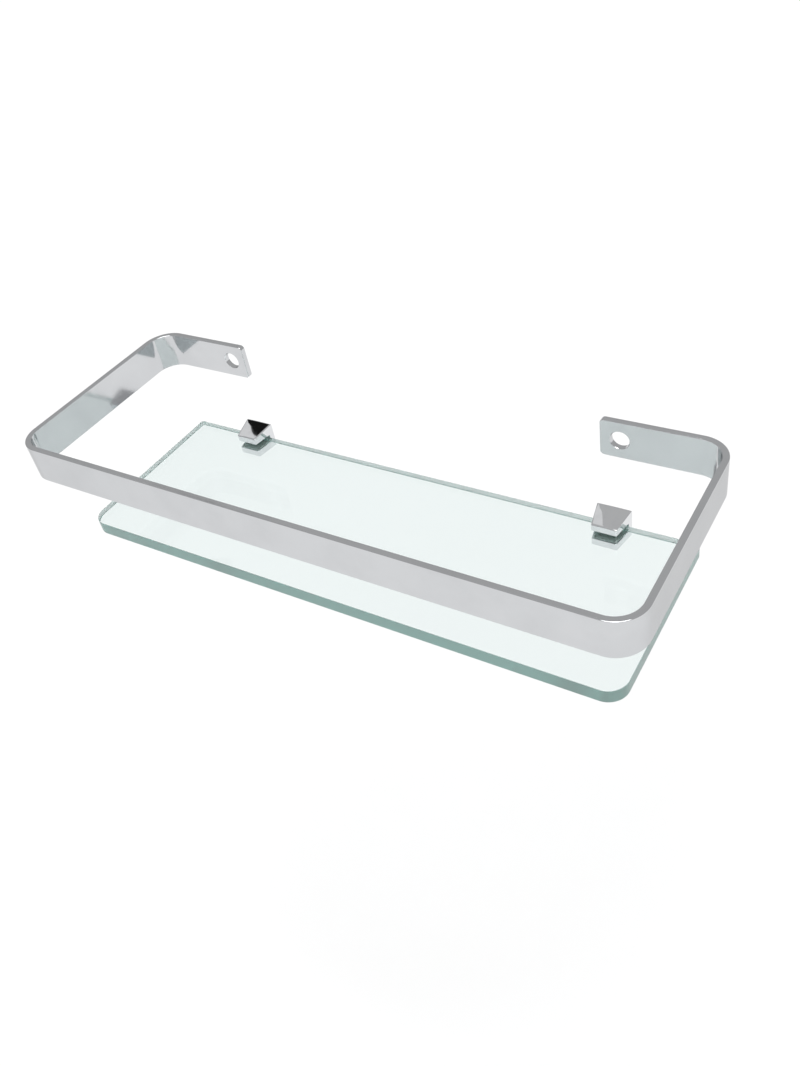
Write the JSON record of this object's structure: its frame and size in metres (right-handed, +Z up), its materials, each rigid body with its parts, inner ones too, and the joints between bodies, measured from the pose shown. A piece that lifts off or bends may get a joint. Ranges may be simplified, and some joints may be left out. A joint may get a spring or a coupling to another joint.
{
  "type": "glass wall shelf with guard rail",
  "caption": "Small glass wall shelf: a clear plate with rounded front corners gripped by slotted wall clips, under a flat-bar guard rail with drilled wall tabs.",
  "frame": {"origin": "on the wall plane, midway between the two clips, level with the middle of the glass", "axes": "+X along the wall to the right seen from the room, +Y into the wall, +Z up; the shelf stands out towards -Y"},
  "size_m": [0.27, 0.095, 0.0582],
  "materials": {
    "rail_metal": "polished flat bar",
    "glass": "clear float glass, polished green edges",
    "clip_chrome": "chrome-plated casting",
    "liner_vinyl": "soft matte vinyl",
    "plate_steel": "zinc plated",
    "screw_steel": "blackened"
  },
  "bodies": {
    "wall_parts": {"guard_rail": "rail_metal", "left_clip_body": "clip_chrome", "left_clip_liner": "liner_vinyl", "right_clip_body": "clip_chrome", "right_clip_liner": "liner_vinyl"},
    "glass": {"glass_shelf": "glass"},
    "left_plate": {"left_pressure_plate": "plate_steel"},
    "left_screw": {"left_clamp_screw": "screw_steel"},
    "right_plate": {"right_pressure_plate": "plate_steel"},
    "right_screw": {"right_clamp_screw": "screw_steel"}
  },
  "joints": [
    {"name": "glass_slide", "type": "slide", "parent": "wall_parts", "child": "glass", "axis": [0, -1, 0], "range_m": [0, 0.008]},
    {"name": "left_plate_lift", "type": "slide", "parent": "wall_parts", "child": "left_plate", "axis": [0, 0, 1], "range_m": [-0.0005, 0]},
    {"name": "left_screw_turn", "type": "hinge", "parent": "left_plate", "child": "left_screw", "pos_m": [-0.0895, -0.00745, -0.0061], "axis": [0, 0, 1], "range_deg": [-360, 0]},
    {"name": "right_plate_lift", "type": "slide", "parent": "wall_parts", "child": "right_plate", "axis": [0, 0, 1], "range_m": [-0.0005, 0]},
    {"name": "right_screw_turn", "type": "hinge", "parent": "right_plate", "child": "right_screw", "pos_m": [0.0895, -0.00745, -0.0061], "axis": [0, 0, 1], "range_deg": [-360, 0]}
  ],
  "couplings": [
    {"joint": "left_screw_turn", "follows": "left_plate_lift", "rad_per_m": 12566},
    {"joint": "right_screw_turn", "follows": "right_plate_lift", "rad_per_m": 12566}
  ]
}
